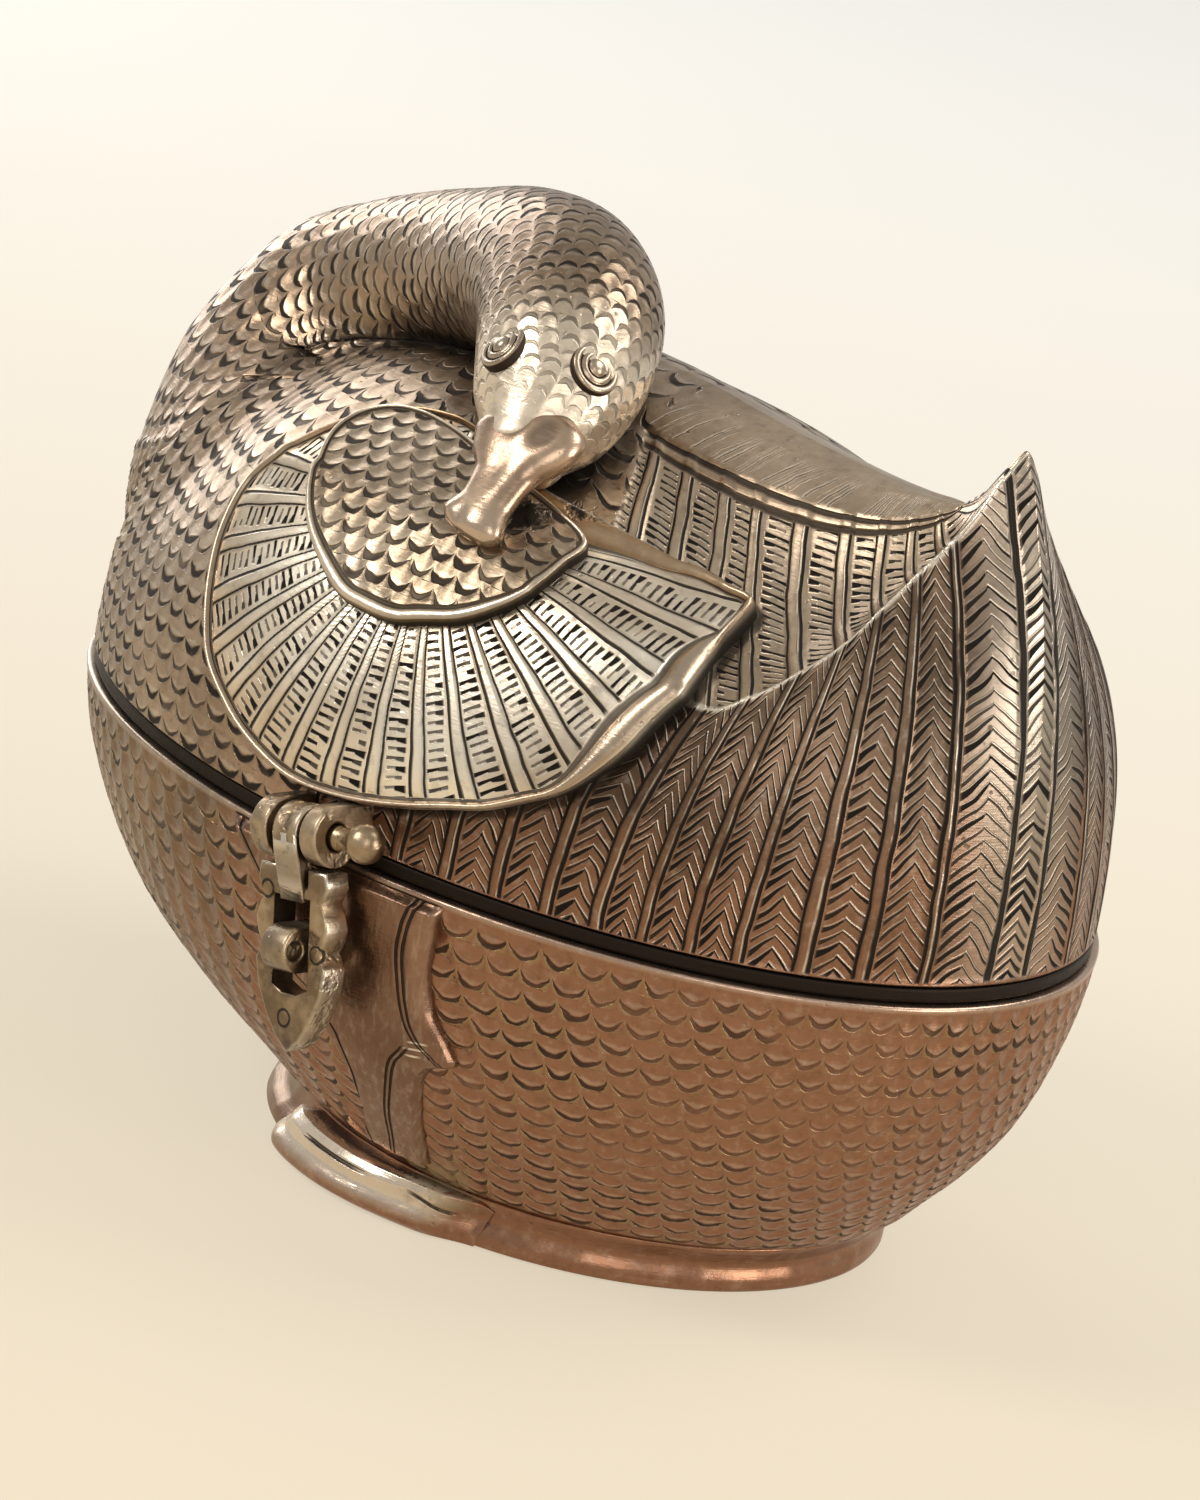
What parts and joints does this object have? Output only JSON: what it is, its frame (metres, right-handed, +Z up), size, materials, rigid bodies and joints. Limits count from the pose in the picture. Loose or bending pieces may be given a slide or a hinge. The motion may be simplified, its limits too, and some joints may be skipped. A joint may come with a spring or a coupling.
{
  "type": "duck-shaped lidded box",
  "caption": "Cast brass box shaped like a resting duck with its head laid back, with a hinged lid, a hasp that drops over a staple, and a low foot ring.",
  "frame": {"origin": "on the surface the box stands on, under the middle of the whole object", "axes": "+X from the chest to the tail, +Y away from the hasp towards the lid's hinge, +Z up"},
  "size_m": [0.164, 0.1322, 0.129],
  "materials": {
    "bowl_brass": "aged, reddish, scale relief with dark recesses",
    "lid_brass": "aged, engraved feathers with dark recesses",
    "wing_brass": "aged, rubbed bright on the raised edges",
    "worn_brass": "rubbed smooth and bright",
    "dark_brass": "dull, dark patina"
  },
  "bodies": {
    "bowl": {"bowl_shell": "bowl_brass", "foot_ring": "bowl_brass", "left_leg": "worn_brass", "left_foot": "bowl_brass", "right_leg": "worn_brass", "right_foot": "bowl_brass", "staple": "worn_brass", "hinge_bowl_lug_front": "dark_brass", "hinge_bowl_lug_rear": "dark_brass"},
    "lid": {"lid_shell": "lid_brass", "lid_lip": "dark_brass", "head": "lid_brass", "bill": "worn_brass", "left_eye": "worn_brass", "right_eye": "worn_brass", "left_wing": "wing_brass", "left_shoulder": "wing_brass", "right_wing": "wing_brass", "right_shoulder": "wing_brass", "hasp_lug_front": "worn_brass", "hasp_lug_rear": "worn_brass", "hasp_pin": "worn_brass", "hinge_lid_lug": "dark_brass", "hinge_pin": "dark_brass"},
    "hasp": {"hasp": "worn_brass"}
  },
  "joints": [
    {"name": "lid_hinge", "type": "hinge", "parent": "bowl", "child": "lid", "pos_m": [0.01376, 0.06287, 0.0505], "axis": [-1, 0, 0], "range_deg": [0, 100]},
    {"name": "hasp_hinge", "type": "hinge", "parent": "lid", "child": "hasp", "pos_m": [0.01376, -0.06107, 0.0528], "axis": [-0.9781, 0, -0.2079], "range_deg": [0, 150]}
  ]
}
